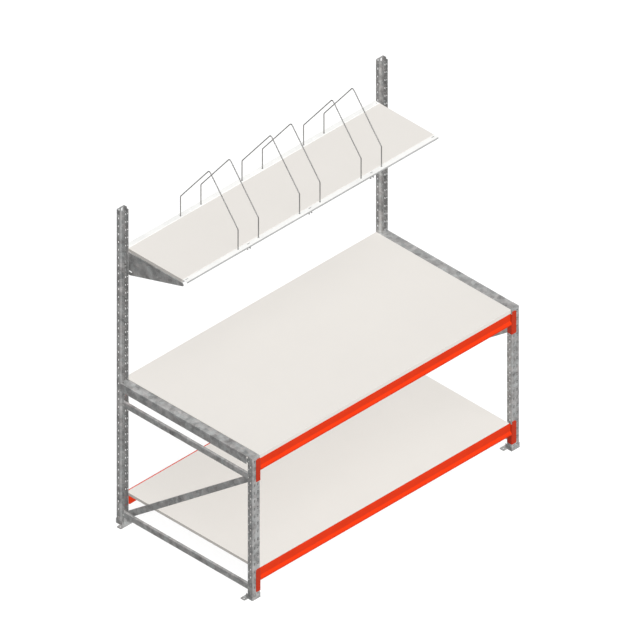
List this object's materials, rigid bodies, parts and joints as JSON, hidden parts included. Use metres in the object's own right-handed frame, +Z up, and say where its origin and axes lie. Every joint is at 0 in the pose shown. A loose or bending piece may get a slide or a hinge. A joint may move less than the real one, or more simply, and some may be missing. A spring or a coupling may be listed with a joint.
{
  "type": "packing table",
  "caption": "Packing table on a boltless shelving frame, with a worktop, a lower shelf and a raised rear shelf whose slotted rails hold lift-out wire dividers.",
  "frame": {"origin": "on the floor, under the middle of the whole table", "axes": "+X along the table towards its right end, -Y towards the person working at it, +Z up"},
  "size_m": [2.018, 1.008, 2.1236],
  "materials": {
    "galvanised": "galvanised, spangled",
    "orange_paint": "orange-red powder coat",
    "white_paint": "white powder coat",
    "white_board": "pale laminate on chipboard",
    "divider_wire": "bright zinc-plated wire",
    "zinc_bolt": "bright zinc plate"
  },
  "bodies": {
    "frame": {"upright_front_left": "galvanised", "base_plate_front_left": "galvanised", "upright_front_right": "galvanised", "base_plate_front_right": "galvanised", "upright_rear_left": "galvanised", "base_plate_rear_left": "galvanised", "upright_rear_right": "galvanised", "base_plate_rear_right": "galvanised", "lower_strut_left": "galvanised", "upper_strut_left": "galvanised", "diagonal_strut_left": "galvanised", "lower_strut_right": "galvanised", "upper_strut_right": "galvanised", "diagonal_strut_right": "galvanised", "lower_strut_bolt_front_left": "zinc_bolt", "upper_strut_bolt_front_left": "zinc_bolt", "rail_bolt_front_left": "zinc_bolt", "lower_strut_bolt_front_right": "zinc_bolt", "upper_strut_bolt_front_right": "zinc_bolt", "rail_bolt_front_right": "zinc_bolt", "lower_strut_bolt_rear_left": "zinc_bolt", "upper_strut_bolt_rear_left": "zinc_bolt", "rail_bolt_rear_left": "zinc_bolt", "lower_strut_bolt_rear_right": "zinc_bolt", "upper_strut_bolt_rear_right": "zinc_bolt", "rail_bolt_rear_right": "zinc_bolt", "bracket_bolt_left": "zinc_bolt", "bracket_bolt_right": "zinc_bolt", "upper_beam_front": "orange_paint", "upper_beam_rear": "orange_paint", "upper_connector_front_left": "orange_paint", "upper_connector_front_right": "orange_paint", "upper_connector_rear_left": "orange_paint", "upper_connector_rear_right": "orange_paint", "lower_beam_front": "orange_paint", "lower_beam_rear": "orange_paint", "lower_connector_front_left": "orange_paint", "lower_connector_front_right": "orange_paint", "lower_connector_rear_left": "orange_paint", "lower_connector_rear_right": "orange_paint", "worktop": "white_board", "lower_shelf": "white_board", "side_rail_left": "galvanised", "side_rail_right": "galvanised", "shelf_bracket_left": "galvanised", "shelf_bracket_right": "galvanised", "divider_rail_front": "white_paint", "divider_rail_rear": "white_paint", "upper_shelf": "white_board", "cross_bar_left": "galvanised", "cross_bar_middle": "galvanised", "cross_bar_right": "galvanised"},
    "divider_1_body": {"divider_1": "divider_wire"},
    "divider_2_body": {"divider_2": "divider_wire"},
    "divider_3_body": {"divider_3": "divider_wire"},
    "divider_4_body": {"divider_4": "divider_wire"},
    "divider_5_body": {"divider_5": "divider_wire"},
    "divider_6_body": {"divider_6": "divider_wire"}
  },
  "joints": [
    {"name": "divider_1_lift", "type": "slide", "parent": "frame", "child": "divider_1_body", "axis": [0, 0, 1], "range_m": [0, 0.06]},
    {"name": "divider_2_lift", "type": "slide", "parent": "frame", "child": "divider_2_body", "axis": [0, 0, 1], "range_m": [0, 0.06]},
    {"name": "divider_3_lift", "type": "slide", "parent": "frame", "child": "divider_3_body", "axis": [0, 0, 1], "range_m": [0, 0.06]},
    {"name": "divider_4_lift", "type": "slide", "parent": "frame", "child": "divider_4_body", "axis": [0, 0, 1], "range_m": [0, 0.06]},
    {"name": "divider_5_lift", "type": "slide", "parent": "frame", "child": "divider_5_body", "axis": [0, 0, 1], "range_m": [0, 0.06]},
    {"name": "divider_6_lift", "type": "slide", "parent": "frame", "child": "divider_6_body", "axis": [0, 0, 1], "range_m": [0, 0.06]}
  ]
}
